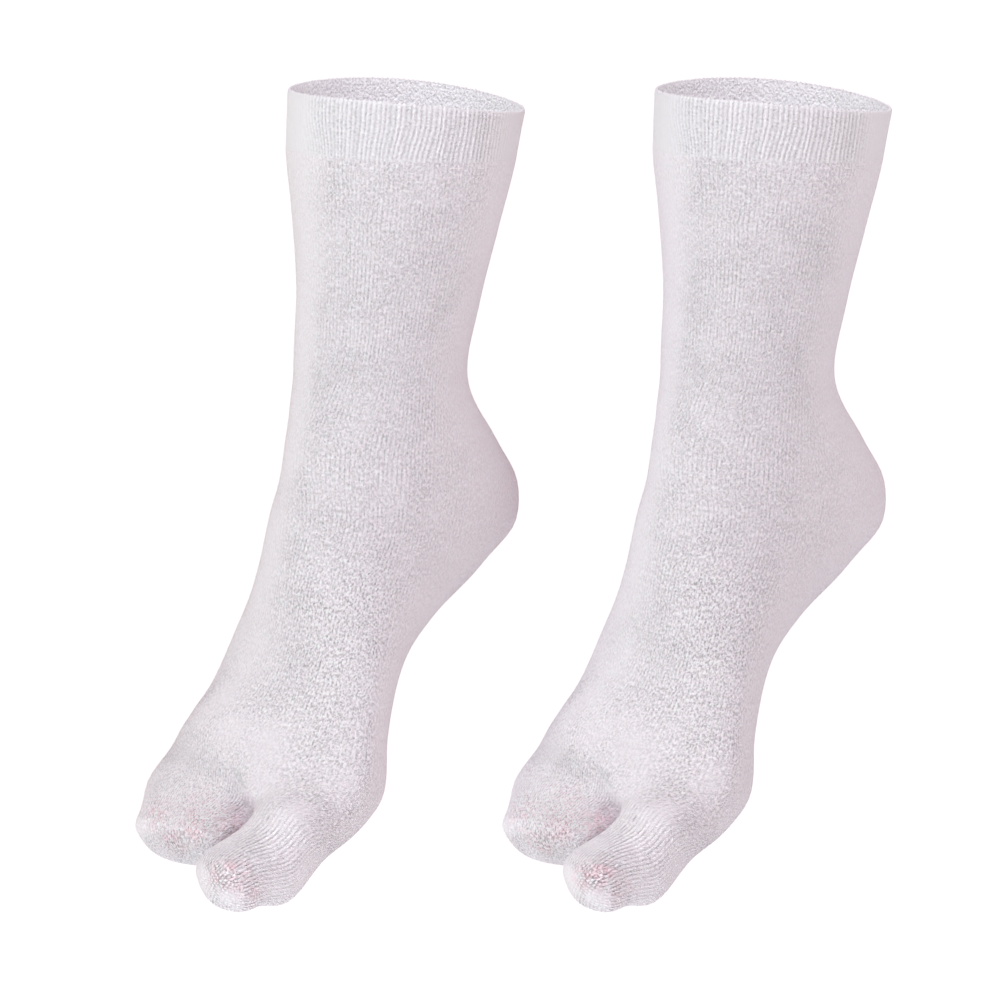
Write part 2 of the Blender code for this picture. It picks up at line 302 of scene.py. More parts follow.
def sockRows(columnsPerWale, rowSpacing, capSpacing):
    # rows of the leg and foot, of the big toe's pocket and of the other toes' pocket
    wales = np.arange(0, pair["wales"], 1 / columnsPerWale)
    arc = legAndFoot["cleft"] * columnsPerWale
    web = legAndFoot["webWales"] * columnsPerWale
    innerColumns = np.arange(-arc, arc + 1)
    outerColumns = np.arange(arc, len(wales) - arc + 1)
    leg = [legRow(r, wales) for r in legRings.values()]
    top = legRow(cuffRings["opening"], wales)

    bigArc, smallArc = legAndFoot["toeArcs"]["big"], legAndFoot["toeArcs"]["small"]
    bigShares = np.concatenate([
        shareRun(-bigArc, bigArc, 2 * arc),
        shareRun(bigArc, 1 - bigArc, web),
    ])
    smallShares = np.concatenate([
        shareRun(smallArc, 1 - smallArc, len(outerColumns) - 1),
        shareRun(1 - smallArc, 1 + smallArc, web),
    ])
    big = toeRows(list(bigToeRings.values()), legAndFoot["toeEnds"]["big"], bigShares)
    small = toeRows(list(smallToeRings.values()), legAndFoot["toeEnds"]["small"], smallShares)

    # the columns run straight on round the cleft, and the web between them is a saddle
    root, above = leg[-1], leg[-2]
    below = np.zeros_like(root)
    below[innerColumns] = big[0][: 2 * arc + 1]
    below[outerColumns] = small[0][: len(outerColumns)]
    straight = nearCleft(wales)[:, None]
    below = below * (1 - straight) + (2 * root - above) * straight
    onWeb = np.linspace(0, 1, web + 1)[1:-1, None]
    saddle = np.sin(math.pi * onWeb) ** 2
    webRoot, webAbove = (row[arc] * (1 - onWeb) + row[-arc] * onWeb for row in (root, above))
    bigWeb, smallWeb = big[0][2 * arc + 1 :], small[0][: len(outerColumns) - 1 : -1]
    beforeBig = webAbove * (1 - saddle) + smallWeb * saddle
    beforeSmall = webAbove * (1 - saddle) + bigWeb * saddle
    bigRoot = np.concatenate([root[innerColumns], webRoot])
    smallRoot = np.concatenate([root[outerColumns], webRoot[::-1]])
    bigAbove = np.concatenate([above[innerColumns], beforeBig])
    smallAbove = np.concatenate([above[outerColumns], beforeSmall[::-1]])

    def toSpacings(rings, cap):
        return [rowSpacing] * len(rings) + [cap] * (len(legAndFoot["capAngles"]) + 1)

    def acrossTip(rows):
        # past the tip each column goes on down the opposite side
        return np.roll(rows[-2], len(rows[-2]) // 2, axis=0)

    legs = smoothRows(leg, top, below, [rowSpacing] * len(leg))
    bigs = smoothRows([bigRoot, *big], bigAbove, acrossTip(big),
                      toSpacings(bigToeRings, capSpacing["big"]))
    smalls = smoothRows([smallRoot, *small], smallAbove, acrossTip(small),
                        toSpacings(smallToeRings, capSpacing["small"]))
    if rowSpacing == legAndFoot["rowSpacing"]:  # the lining's rows are too far apart for it
        rounds, fade = legAndFoot["easeRounds"], legAndFoot["easeWales"] * columnsPerWale
        easeJoin(legs[0], bigs[0], innerColumns, rounds["big"], fade)
        easeJoin(legs[0], smalls[0], outerColumns % len(wales), rounds["small"], fade)
    return legs, bigs, smalls


def softNoise(points, size, shift):
    # one smooth random number, about -1 to 1, for each point
    found = np.empty(len(points))
    for k, p in enumerate(points):
        found[k] = noise.noise(Vector((p[0] / size + shift, p[1] / size, p[2] / size)))
    return found


def patches(points, spots):
    # how strongly each point lies in one of the round patches
    found = np.zeros(len(points))
    for x, y, z, reach, strength in spots:
        away = np.linalg.norm(points - np.array([x, y, z]), axis=1)
        found = np.maximum(found, strength * np.exp(-((away / reach) ** 2)))
    return found


def closeTo(points, others, reach):
    # one for points that touch the others, falling to nought beyond this reach
    tree = kdtree.KDTree(len(others))
    for k, p in enumerate(others):
        tree.insert(p, k)
    tree.balance()
    away = np.array([tree.find(p)[2] for p in points])
    return np.exp(-((away / reach) ** 2))


def sidewards(directions):
    # one where the cloth faces the pair's left or right, where its knit lies flatter
    turn = math.radians(pair["turn"])
    facing = np.abs(directions[:, 0] * math.cos(turn) + directions[:, 1] * math.sin(turn))
    return smoothStep(0.55, 0.92, facing)


class Cloth:
    # collects the points and faces of one piece, with the stitch number of every corner

    def __init__(self):
        self.points = []
        self.count = 0
        self.faces = []
        self.corners = []

    def add(self, points):
        ids = np.arange(self.count, self.count + len(points))
        self.points.append(np.asarray(points, float))
        self.count += len(points)
        return ids

    def band(self, first, second, across, firstAlong, secondAlong):
        # faces between two closed rows; across has one value more than there are columns
        i = np.arange(len(first))
        j = (i + 1) % len(first)
        quads = np.stack([first[i], first[j], second[j], second[i]], axis=1)
        u = np.stack([across[i], across[i + 1], across[i + 1], across[i]], axis=1)
        v = np.stack([firstAlong[i], firstAlong[j], secondAlong[j], secondAlong[i]], axis=1)
        self.faces.extend(quads.tolist())
        self.corners.append(np.stack([u, v], axis=2).reshape(-1, 2))

    def bandOfPairs(self, first, second, firstPlace, secondPlace):
        # the same, where each point has its own pair of stitch numbers
        i = np.arange(len(first))
        j = (i + 1) % len(first)
        quads = np.stack([first[i], first[j], second[j], second[i]], axis=1)
        uv = np.stack([firstPlace[i], firstPlace[j], secondPlace[j], secondPlace[i]], axis=1)
        self.faces.extend(quads.tolist())
        self.corners.append(uv.reshape(-1, 2))

    def fan(self, row, tip, places, tipPlace):
        i = np.arange(len(row))
        j = (i + 1) % len(row)
        tris = np.stack([row[i], row[j], np.full(len(row), tip)], axis=1)
        uv = np.stack([places[i], places[j], np.tile(tipPlace, (len(row), 1))], axis=1)
        self.faces.extend(tris.tolist())
        self.corners.append(uv.reshape(-1, 2))

    def normals(self):
        # outward direction at each point, from the faces round it
        points = np.concatenate(self.points)
        total = np.zeros_like(points)
        quads = np.array([f for f in self.faces if len(f) == 4])
        p = points[quads]
        face = np.cross(p[:, 2] - p[:, 0], p[:, 3] - p[:, 1])
        for corner in range(4):
            np.add.at(total, quads[:, corner], face)
        tris = np.array([f for f in self.faces if len(f) == 3])
        if len(tris):
            p = points[tris]
            face = np.cross(p[:, 1] - p[:, 0], p[:, 2] - p[:, 0])
            for corner in range(3):
                np.add.at(total, tris[:, corner], face)
        return total / (np.linalg.norm(total, axis=1)[:, None] + 1e-12)

    def build(self, name, points, material, values):
        # the finished piece, at the first sock's place
        turn = math.radians(-pair["turn"])
        x = points[:, 0] * math.cos(turn) - points[:, 1] * math.sin(turn)
        y = points[:, 0] * math.sin(turn) + points[:, 1] * math.cos(turn)
        placed = np.stack([x - pair["span"] / 2, y, points[:, 2]], axis=1) * mm
        mesh = bpy.data.meshes.new(name)
        mesh.from_pydata(placed.tolist(), [], self.faces)
        stitches = mesh.uv_layers.new(name="stitches")
        stitches.data.foreach_set("uv", np.concatenate(self.corners).astype(np.float32).ravel())
        for key, amounts in values.items():
            layer = mesh.attributes.new(name=key, type="FLOAT", domain="POINT")
            layer.data.foreach_set("value", np.asarray(amounts, np.float32))
        mesh.validate()
        mesh.shade_smooth()
        mesh.set_sharp_from_angle(angle=math.radians(pair["sharpFrom"]))
        mesh.materials.append(material)
        piece = bpy.data.objects.new(name, mesh)
        bpy.context.scene.collection.objects.link(piece)
        return piece


def runLength(rows):
    # how far along its column each point lies, in stitches
    steps = np.linalg.norm(np.diff(rows, axis=0), axis=2)
    return np.concatenate([np.zeros((1, rows.shape[1])), np.cumsum(steps, axis=0)]) / pair["course"]


def capPlaces(rows, tip, r, pitch):
    # stitch numbers laid flat over a round end, so that they don't crowd at its tip
    inner, front, _ = ringAxes(r)
    offsets = rows - tip
    flat = np.stack([offsets @ inner, offsets @ front], axis=-1)
    radius = np.linalg.norm(flat, axis=-1, keepdims=True) + 1e-9
    reach = np.linalg.norm(offsets, axis=-1, keepdims=True)
    flat = flat / radius * reach
    return flat / np.array([pitch, pair["course"]])


def sockWall(cloth, columnsPerWale, spacing, capSpacing):
    # one wall of the leg and foot: returns its rim and what is known about each point
    legs, bigs, smalls = sockRows(columnsPerWale, spacing, capSpacing)
    arc = legAndFoot["cleft"] * columnsPerWale
    per = columnsPerWale
    legWales = np.arange(0, len(legs[0][0]) + 1) / per
    along = runLength(legs[0])
    facts = {"part": [], "wale": [], "place": []}

    def note(part, wale, places, shape):
        # part: 0 leg and foot, 1 big toe, 2 other toes, 3 web in the cleft
        facts["part"].append(np.full(shape, part).ravel())
        facts["wale"].append(np.broadcast_to(wale, shape).ravel())
        facts["place"].append(np.broadcast_to(places, shape).ravel())

    ids = cloth.add(legs[0].reshape(-1, 3)).reshape(legs[0].shape[:2])
    note(0, legWales[:-1], legs[1][:, None], ids.shape)
    for k in range(len(ids) - 1):
        cloth.band(ids[k], ids[k + 1], legWales, along[k], along[k + 1])
    root, rootAlong = ids[-1], along[-1]

    webPoints = bigs[0][0][2 * arc + 1 :]
    web = cloth.add(webPoints)
    onWeb = np.linspace(0, 1, len(web) + 2)[1:-1]
    webAlong = rootAlong[arc] * (1 - onWeb) + rootAlong[-arc] * onWeb
    note(3, legAndFoot["cleft"] + onWeb * legAndFoot["webWales"], len(legRings) - 1.0, web.shape)

    cleft, pitch = legAndFoot["cleft"], legAndFoot["capPitch"]
    pockets = (
        (1, bigs, bigToeRings, np.r_[root[-arc:], root[: arc + 1], web],
         np.r_[rootAlong[-arc:], rootAlong[: arc + 1], webAlong], -cleft, pitch["big"]),
        (2, smalls, smallToeRings, np.r_[root[arc : len(root) - arc + 1], web[::-1]],
         np.r_[rootAlong[arc : len(root) - arc + 1], webAlong[::-1]], cleft, pitch["small"]),
    )
    for part, (rows, places), rings, first, firstAlong, firstWale, capPitch in pockets:
        columns = firstWale + np.arange(rows.shape[1] + 1) / per
        alongs = runLength(rows) + firstAlong
        tipPoint = rows[-1][0]
        lastRing = list(rings.values())[-1]
        flat = capPlaces(rows, tipPoint, lastRing, capPitch)
        capStart = len(rings) + 0.99  # from here on the stitches are laid flat
        previous = first
        for k in range(1, len(rows) - 1):
            row = cloth.add(rows[k])
            note(part, columns[:-1], places[k], row.shape)
            if places[k] <= capStart:
                cloth.band(previous, row, columns, alongs[k - 1], alongs[k])
            else:
                cloth.bandOfPairs(previous, row, flat[k - 1], flat[k])
            previous = row
        tip = cloth.add([tipPoint])
        note(part, firstWale, places[-1], tip.shape)
        cloth.fan(previous, tip[0], flat[-2], np.zeros(2))
    return ids[0], {key: np.concatenate(value) for key, value in facts.items()}


def footPattern(points, out, part, wale, place):
    # how the wales stand out at each point, and where the cloth lies smooth
    look, uneven, starts = legAndFoot, legAndFoot["noise"], legAndFoot["starts"]
    drift = softNoise(points, *uneven["drift"]) * pair["wander"]
    drift = drift + softNoise(points, *uneven["finerDrift"]) * 0.5 * pair["wander"]
    drift = drift + np.where(part == 1, look["stray"] * softNoise(points, *uneven["stray"]), 0)
    patch = 0.8 + 0.9 * softNoise(points, *uneven["depth"])
    ridged = patches(points, look["ridged"])
    ridge = np.abs(np.sin(math.pi * (wale + drift))) ** 0.8
    onFoot = smoothStep(*starts["foot"], place)
    depth = look["ridgeOnLeg"] * (1 - onFoot) + look["ridgeOnFoot"] * onFoot
    toeStart = smoothStep(*starts["toe"], place)
    atRoot = look["ridgeOnFoot"]
    depth = np.where(part == 1, atRoot + (look["ridgeOnBigToe"] - atRoot) * toeStart, depth)
    depth = np.where(part == 2, atRoot + (look["ridgeOnToes"] - atRoot) * toeStart, depth)
    depth = np.where(part == 3, atRoot, depth) * (1 + look["ridgeOnRidged"] * ridged)

    # the ridges of the big toe meet on its end in a slanting net
    pad = bigToeRings["pad"]
    tip = placeOnRing(pad, [0], [0])[0] + ringAxes(pad)[2] * look["toeEnds"]["big"]
    net = capPlaces(points, tip, pad, 1.0) * np.array([1.0, pair["course"]])
    slant = look["netPitch"] * look["bigToePitch"]
    crossing = np.minimum(
        np.abs(np.sin(math.pi * (net[:, 0] + net[:, 1]) / slant)),
        np.abs(np.sin(math.pi * (net[:, 0] - net[:, 1]) / slant)),
    ) ** 0.7
    onEnd = smoothStep(*starts["bigToeEnd"], place)
    ridge = np.where(part == 1, ridge * (1 - onEnd) + crossing * onEnd, ridge)
    ridge = np.where(part == 2, ridge * (1 - smoothStep(*starts["toesEnd"], place)), ridge)
    smooth = np.maximum(patches(points, look["pale"]), 0.9 * sidewards(out))
    patch = np.clip(np.where(part == 1, 0.5 + 0.5 * patch, patch), 0.15, 1.5) * (1 - 0.8 * smooth)
    return SimpleNamespace(
        relief=(ridge - 0.35) * depth * patch,
        # shown sets the painted shade between the wales
        shown=0.7 + (ridge - 0.7) * patch,
        ridged=ridged,
        smooth=smooth,
        onFoot=onFoot,
        toeStart=toeStart,
        onEnd=onEnd,
    )


def footNotes(points, part, place, pattern):
    # what the material reads at each point
    look, strong, speckAndShadeAmounts = legAndFoot, legAndFoot["paintedShadeStrength"], legAndFoot["specksAndPaintedShade"]
    smooth, toeStart = pattern.smooth, pattern.toeStart
    blush = patches(points, look["blush"])
    grain = np.where(part == 0, pattern.onFoot, 1.0) * np.where(part == 1, 1 - 0.9 * toeStart, 1.0)
    onBigToe = strong["bigToe"] * toeStart + strong["toeEnd"] * pattern.onEnd
    onRest = strong["ridged"] * pattern.ridged
    paintedShadeStrength = strong["least"] + np.where(part == 1, onBigToe, onRest)
    worn = np.clip(1 + 1.1 * softNoise(points, *look["noise"]["worn"]), 0.3, 1.6)
    paintedShadeStrength = np.where(part == 1, paintedShadeStrength * worn, paintedShadeStrength) * (1 - 0.75 * smooth)
    onLeg = speckAndShadeAmounts["leg"] + speckAndShadeAmounts["foot"] * pattern.onFoot
    specksAndPaintedShade = np.where(part == 0, onLeg, speckAndShadeAmounts["toes"])
    onBigToe = speckAndShadeAmounts["leg"] + speckAndShadeAmounts["foot"] - speckAndShadeAmounts["bigToe"] * toeStart
    specksAndPaintedShade = np.where(part == 1, onBigToe, specksAndPaintedShade) + speckAndShadeAmounts["blush"] * blush
    specksAndPaintedShade = specksAndPaintedShade + patches(points, look["rough"])
    blush = np.maximum(blush, look["leastBlush"])

    # painted glow where the pockets lie side by side, for light coming through the cloth
    paintedCleftGlow = np.where(part == 3, look["paintedWebGlow"], 0.0)
    for one, other in ((1, 2), (2, 1)):
        here, there = points[part == one], points[part == other]
        paintedCleftGlow[part == one] = closeTo(here, there, look["paintedGlowReach"])
    # painted light and shade: the toes are made paler, and some patches lighter or darker
    paintedToeLight = look["paintedToeLight"] * smoothStep(*look["starts"]["paintedToeLight"], place)
    paintedLift = np.where(part == 0, 0.0, paintedToeLight)
    paintedLift = paintedLift * (1 - 0.5 * smooth) * (1 - 0.4 * np.minimum(blush, 1))
    paintedLift = paintedLift + patches(points, look["paintedLightPatches"]) - patches(points, look["paintedShadePatches"])
    return {
        "blush": blush,
        "grain": grain,
        "relief": pattern.shown,
        "paintedShadeStrength": paintedShadeStrength,
        "specksAndPaintedShade": specksAndPaintedShade,
        # inner carries the painted glow
        "inner": paintedCleftGlow,
        "paintedLift": paintedLift,
        "smooth": smooth,
    }


def addLining(cloth, rim):
    # inner wall: coarser, set back by the cloth's thickness, and joined to the outer rim
    look = legAndFoot
    lining = Cloth()
    further = look["liningSpacing"] * look["rowSpacing"]
    liningRim, _ = sockWall(lining, 1, further, look["liningCapSpacing"])
    liningPoints = np.concatenate(lining.points) - lining.normals() * look["wall"]
    base = cloth.count
    cloth.points.append(liningPoints)
    cloth.faces.extend([[i + base for i in reversed(face)] for face in lining.faces])
    corners = np.concatenate(lining.corners)
    starts = np.concatenate([[0], np.cumsum([len(face) for face in lining.faces])])
    flipped = [corners[a:b][::-1] for a, b in zip(starts, starts[1:])]
    cloth.corners.append(np.concatenate(flipped))
    per = look["columnsPerWale"]
    for k in range(len(liningRim)):
        n = (k + 1) % len(liningRim)
        a, b = int(liningRim[k]) + base, int(liningRim[n]) + base
        o = [int(rim[(k * per + m) % len(rim)]) for m in range(per + 1)]
        strip = [(o[1], o[0], a), (o[2], o[1], a), (o[2], a, b), (o[3], o[2], b), (o[4], o[3], b)]
        cloth.faces.extend([list(face) for face in strip])
        cloth.corners.append(np.tile([k + 0.5, 0.0], (15, 1)))
    return liningPoints


def buildLegAndFoot(material):
    look = legAndFoot
    outer = Cloth()
    rim, facts = sockWall(outer, look["columnsPerWale"], look["rowSpacing"], look["capSpacing"])
    points = np.concatenate(outer.points)
    points = points + outer.normals() * patches(points, look["swells"])[:, None]
    outer.points = [points]
    out = outer.normals()
    part, place = facts["part"], facts["place"]
    pattern = footPattern(points, out, part, facts["wale"], place)
    notes = footNotes(points, part, place, pattern)
    liningPoints = addLining(outer, rim)
    allPoints = np.concatenate([points + out * pattern.relief[:, None], liningPoints])

    # the lining has even notes, and a painted glow near its top, for light coming through the cloth
    depthInside = liningPoints[:, 2] - cuffRings["foot"].height
    onLining = {
        "relief": 0.7,
        "paintedShadeStrength": look["paintedShadeStrength"]["lining"],
        "specksAndPaintedShade": 1.0,
        "inner": look["paintedLiningGlow"] * np.exp(depthInside / look["paintedLiningGlowReach"]),
    }
    values = {}
    for key, amounts in notes.items():
        spare = np.broadcast_to(onLining.get(key, 0.0), len(liningPoints))
        values[key] = np.concatenate([amounts, spare])
    piece = outer.build("firstLegAndFoot", allPoints, material, values)
    print("leg and foot:", len(piece.data.polygons), "faces")
    return piece


# cuff

cuff = {
    "height": 23.2,
    "wall": 1.6,
    "crown": 0.7,  # how far the rounded rim stands above the wall
    "crownNubs": 0.45,  # how far the last stitches stand up on it
    "columnsPerRib": 6,
    "outerRows": 58,
    "crownRows": 6,
    "innerRows": 36,
    "innerMore": 1.15,  # the inner side has this many times the courses
    "ribDepth": 0.42,
    "stitchDepth": 0.2,
    "purlDepth": 0.5,
    "leans": (  # where the ribs lean in their lower half, how widely and how far, in wales
        (15.0, 11.0, -1.2),
        (38.0, 7.0, 2.2),
        (100.0, 20.0, 1.0),
    ),
    "wander": 0.22,  # how far a rib strays sideways, in wales
    "noise": {"wander": (2.3, 5.0), "thick": (1.7, 9.0)},  # size in wales, where it is read
    "sideFlat": 0.7,  # how much flatter the ribs lie on the left and right
    "sag": (0.6, -0.7, 1.5),  # how the rim dips round the opening
    "paintedShadeStrength": 0.7,  # how dark the painted shade in the hollows between the ribs is
}


def waleNoise(wales, size, shift):
    # one smooth random number, about -1 to 1, for each place round the rim
    return np.array([noise.noise(Vector((w / size, shift, 0.0))) for w in wales])


def cuffUnevenness(wales):
    # how the ribs lean, stray and swell round the cuff, how the rim dips, and where the
    # ribs lie flatter
    look = cuff
    lean = 0
    halfRound = pair["wales"] / 2
    for middle, reach, amount in look["leans"]:
        away = (wales - middle + halfRound) % pair["wales"] - halfRound
        lean = lean + amount * np.exp(-((away / reach) ** 2))
    angle = 2 * math.pi * wales / pair["wales"] + math.radians(pair["turn"])
    dip = look["sag"][0] * np.cos(angle) + look["sag"][1] * np.sin(angle)
    return SimpleNamespace(
        lean=lean,
        wander=waleNoise(wales, *look["noise"]["wander"]) * look["wander"],
        thick=waleNoise(wales, *look["noise"]["thick"]),
        sag=-(dip + look["sag"][2] * np.cos(2 * angle)),
        flatter=1 - look["sideFlat"] * smoothStep(0.68, 0.92, np.abs(np.cos(angle))),
    )


def cuffRow(t, grow, rise, wales, sag):
    # one row round the cuff; t runs from the opening, 0, to the cuff's foot, 1
    found = 0
    for r, share in ((cuffRings["opening"], 1 - t), (cuffRings["foot"], t)):
        across, up = ringSection(r, wales / pair["wales"])
        size = 1 + grow / np.hypot(across, up)
        found = found + share * (
            placeOnRing(r, across * size, up * size) - ringAxes(r)[2] * rise
        )
    return found + np.outer(sag * (1 - t) ** 2, (0, 0, 1))


def ribsAt(t, wales, courses, uneven):
    # how far the knitting stands out on the outer side, and its level for the painted shade between
    # the ribs
    v = t * courses
    w = wales + uneven.lean * smoothStep(0.25, 1.0, t) + uneven.wander * (0.7 + t)
    rib = (0.5 + 0.5 * np.cos(2 * math.pi * w)) ** 0.8
    side = np.mod(w + 0.5, 1.0) - 0.5
    stitch = np.abs(np.sin(math.pi * (v - 1.1 * side + 3 * uneven.thick))) ** 0.7
    ends = smoothStep(0, 0.04, t) * (1 - 0.8 * smoothStep(0.9, 1.0, t))
    stands = (0.4 + 0.6 * ends) * (1 + 0.5 * uneven.thick) * uneven.flatter
    raised = rib * stands * (cuff["ribDepth"] + stitch * cuff["stitchDepth"])
    shown = rib * (0.7 + 0.3 * stitch) * (1 + 0.6 * uneven.thick)
    return raised - 0.2, 0.7 + (shown - 0.72) * uneven.flatter * (0.5 + 0.5 * ends)


def purlsAt(t, wales, courses, uneven):
    # the same on the inner side, where the loops lie like bricks
    v = t * courses + 2.5 * uneven.thick
    brick = np.cos(2 * math.pi * (wales + 2 * uneven.wander) + math.pi * (np.floor(v) % 2))
    bump = (0.5 + 0.5 * brick) * np.abs(np.sin(math.pi * v)) ** 0.6
    return bump * cuff["purlDepth"] * smoothStep(0, 0.05, t), 0.3 + 0.9 * bump


def buildCuff(material):
    look = cuff
    wales = np.arange(0, pair["wales"], 1 / look["columnsPerRib"])
    closed = np.arange(0, len(wales) + 1) / look["columnsPerRib"]
    courses = look["height"] / pair["course"]
    uneven = cuffUnevenness(wales)
    cloth = Cloth()
    ids, alongs, relief = [], [], []

    def addRow(t, grow, rise, along, shown):
        ids.append(cloth.add(cuffRow(t, grow, rise, wales, uneven.sag)))
        alongs.append(along)
        relief.append(shown)

    for t in np.linspace(1, 0, look["outerRows"]):  # up the outer side
        grow, ribs = ribsAt(t, wales, courses, uneven)
        tuck = 0.1 * smoothStep(0.9, 1.0, t)
        drop = -0.1 * smoothStep(0.95, 1.0, t)
        addRow(t, grow + tuck, drop, t * courses, ribs)
    edge, _ = ribsAt(0.0, wales, courses, uneven)
    nubs = (0.5 + 0.5 * np.cos(2 * math.pi * (wales + uneven.wander))) * (1 + uneven.thick)
    for bend in np.linspace(0, math.pi, look["crownRows"] + 2)[1:-1]:  # over the rim
        across = 0.5 + 0.5 * math.cos(bend)
        grow = edge * across - look["wall"] * (1 - across)
        addRow(0.0, grow, 0, -2 * (1 - across), 0.35 + 0.6 * nubs)
        rise = (look["crown"] + look["crownNubs"] * nubs) * math.sin(bend)
        cloth.points[-1] = cloth.points[-1] - ringAxes(cuffRings["opening"])[2] * rise[:, None]
    for t in np.linspace(0, 1, look["innerRows"]):  # and down the inner side
        grow, purls = purlsAt(t, wales, look["innerMore"] * courses, uneven)
        addRow(t, -look["wall"] - grow * 0.6 + 0.05, 0, -2 - t * courses, purls)

    flat = [np.full(len(wales), a) for a in alongs]
    for k in range(len(ids) - 1):
        cloth.band(ids[k + 1], ids[k], closed, flat[k + 1], flat[k])
    cloth.band(ids[0], ids[-1], closed, flat[0], flat[0] + 1.3)
    points = np.concatenate(cloth.points)
    # the inner side of the cuff gets a painted glow, for light through the cloth; inner carries it
    inner = np.zeros(len(points))
    inner[ids[look["outerRows"] + look["crownRows"]][0] :] = 1.0
    sides = np.tile((1 - uneven.flatter) / look["sideFlat"], len(ids)) * (1 - inner)
    values = {
        "relief": np.concatenate(relief),
        "inner": inner,
        "paintedShadeStrength": look["paintedShadeStrength"] * (1 - 0.8 * sides),
        "specksAndPaintedShade": 1 - 0.8 * sides + 0.6 * inner,
        "smooth": 0.9 * sides,
    }
    piece = cloth.build("firstCuff", points, material, values)
    print("cuff:", len(piece.data.polygons), "faces")
    return piece


# cotton

cotton = {
    "yarn": {  # what both knits share; the first four are noise scales
        "sway": 260.0,
        "fluff": 1050.0,
        "worn": 70.0,
        "pinkThread": 330.0,
        "paintedGlowColour": (0.93, 0.93, 1.0),
        "roughness": 0.92,
        "specular": 0.25,
        "sheen": 0.06,
        "sheenRoughness": 0.6,
    },
    "plain": {
        "colour": (0.856, 0.812, 0.853),
        "blush": (1.04, 0.785, 0.825),
        "specksAndPaintedShade": 0.5,  # how much the fine grain, with the painted shade and highlight of its stitches, darkens and lightens the cloth
        "paintedHollowShade": 0.7,  # painted shade: how much darker the cloth is between its wales
        "stitchLean": -0.8,  # how far a stitch's two limbs slant, in courses
        "stitchHeight": 0.00032,  # metres
        "streakHeight": 0.00055,
        "grainHeight": 0.00030,
        "paintedGlow": 0.15,  # painted glow, for light that comes through the cloth in the cleft
        "streaks": (2.2, 0.85, 1.0),  # how many to a wale and to a course
    },
    "ribbed": {
        "colour": (0.835, 0.795, 0.83),
        "blush": (1.04, 0.82, 0.85),
        "specksAndPaintedShade": 0.34,
        "paintedHollowShade": 0.42,
        "stitchLean": -0.6,
        "stitchHeight": 0.00014,
        "streakHeight": 0.00030,
        "grainHeight": 0.00022,
        "paintedGlow": 0.14,  # painted glow, for light that comes through the cloth to its inner side
        "streaks": (2.0, 1.0, 1.0),
    },
}


def addNode(tree, kind, inputs=None, **settings):
    node = tree.nodes.new(kind)
    for key, value in settings.items():
        setattr(node, key, value)
    for key, value in (inputs or {}).items():
        if isinstance(value, bpy.types.NodeSocket):
            tree.links.new(value, node.inputs[key])
        else:
            node.inputs[key].default_value = value
    return node


def addMaths(tree, operation, first, second=0.0, third=0.0):
    return addNode(
        tree, "ShaderNodeMath", {0: first, 1: second, 2: third}, operation=operation
    ).outputs[0]


def readNote(tree, name):
    return addNode(tree, "ShaderNodeAttribute", attribute_name=name).outputs["Fac"]


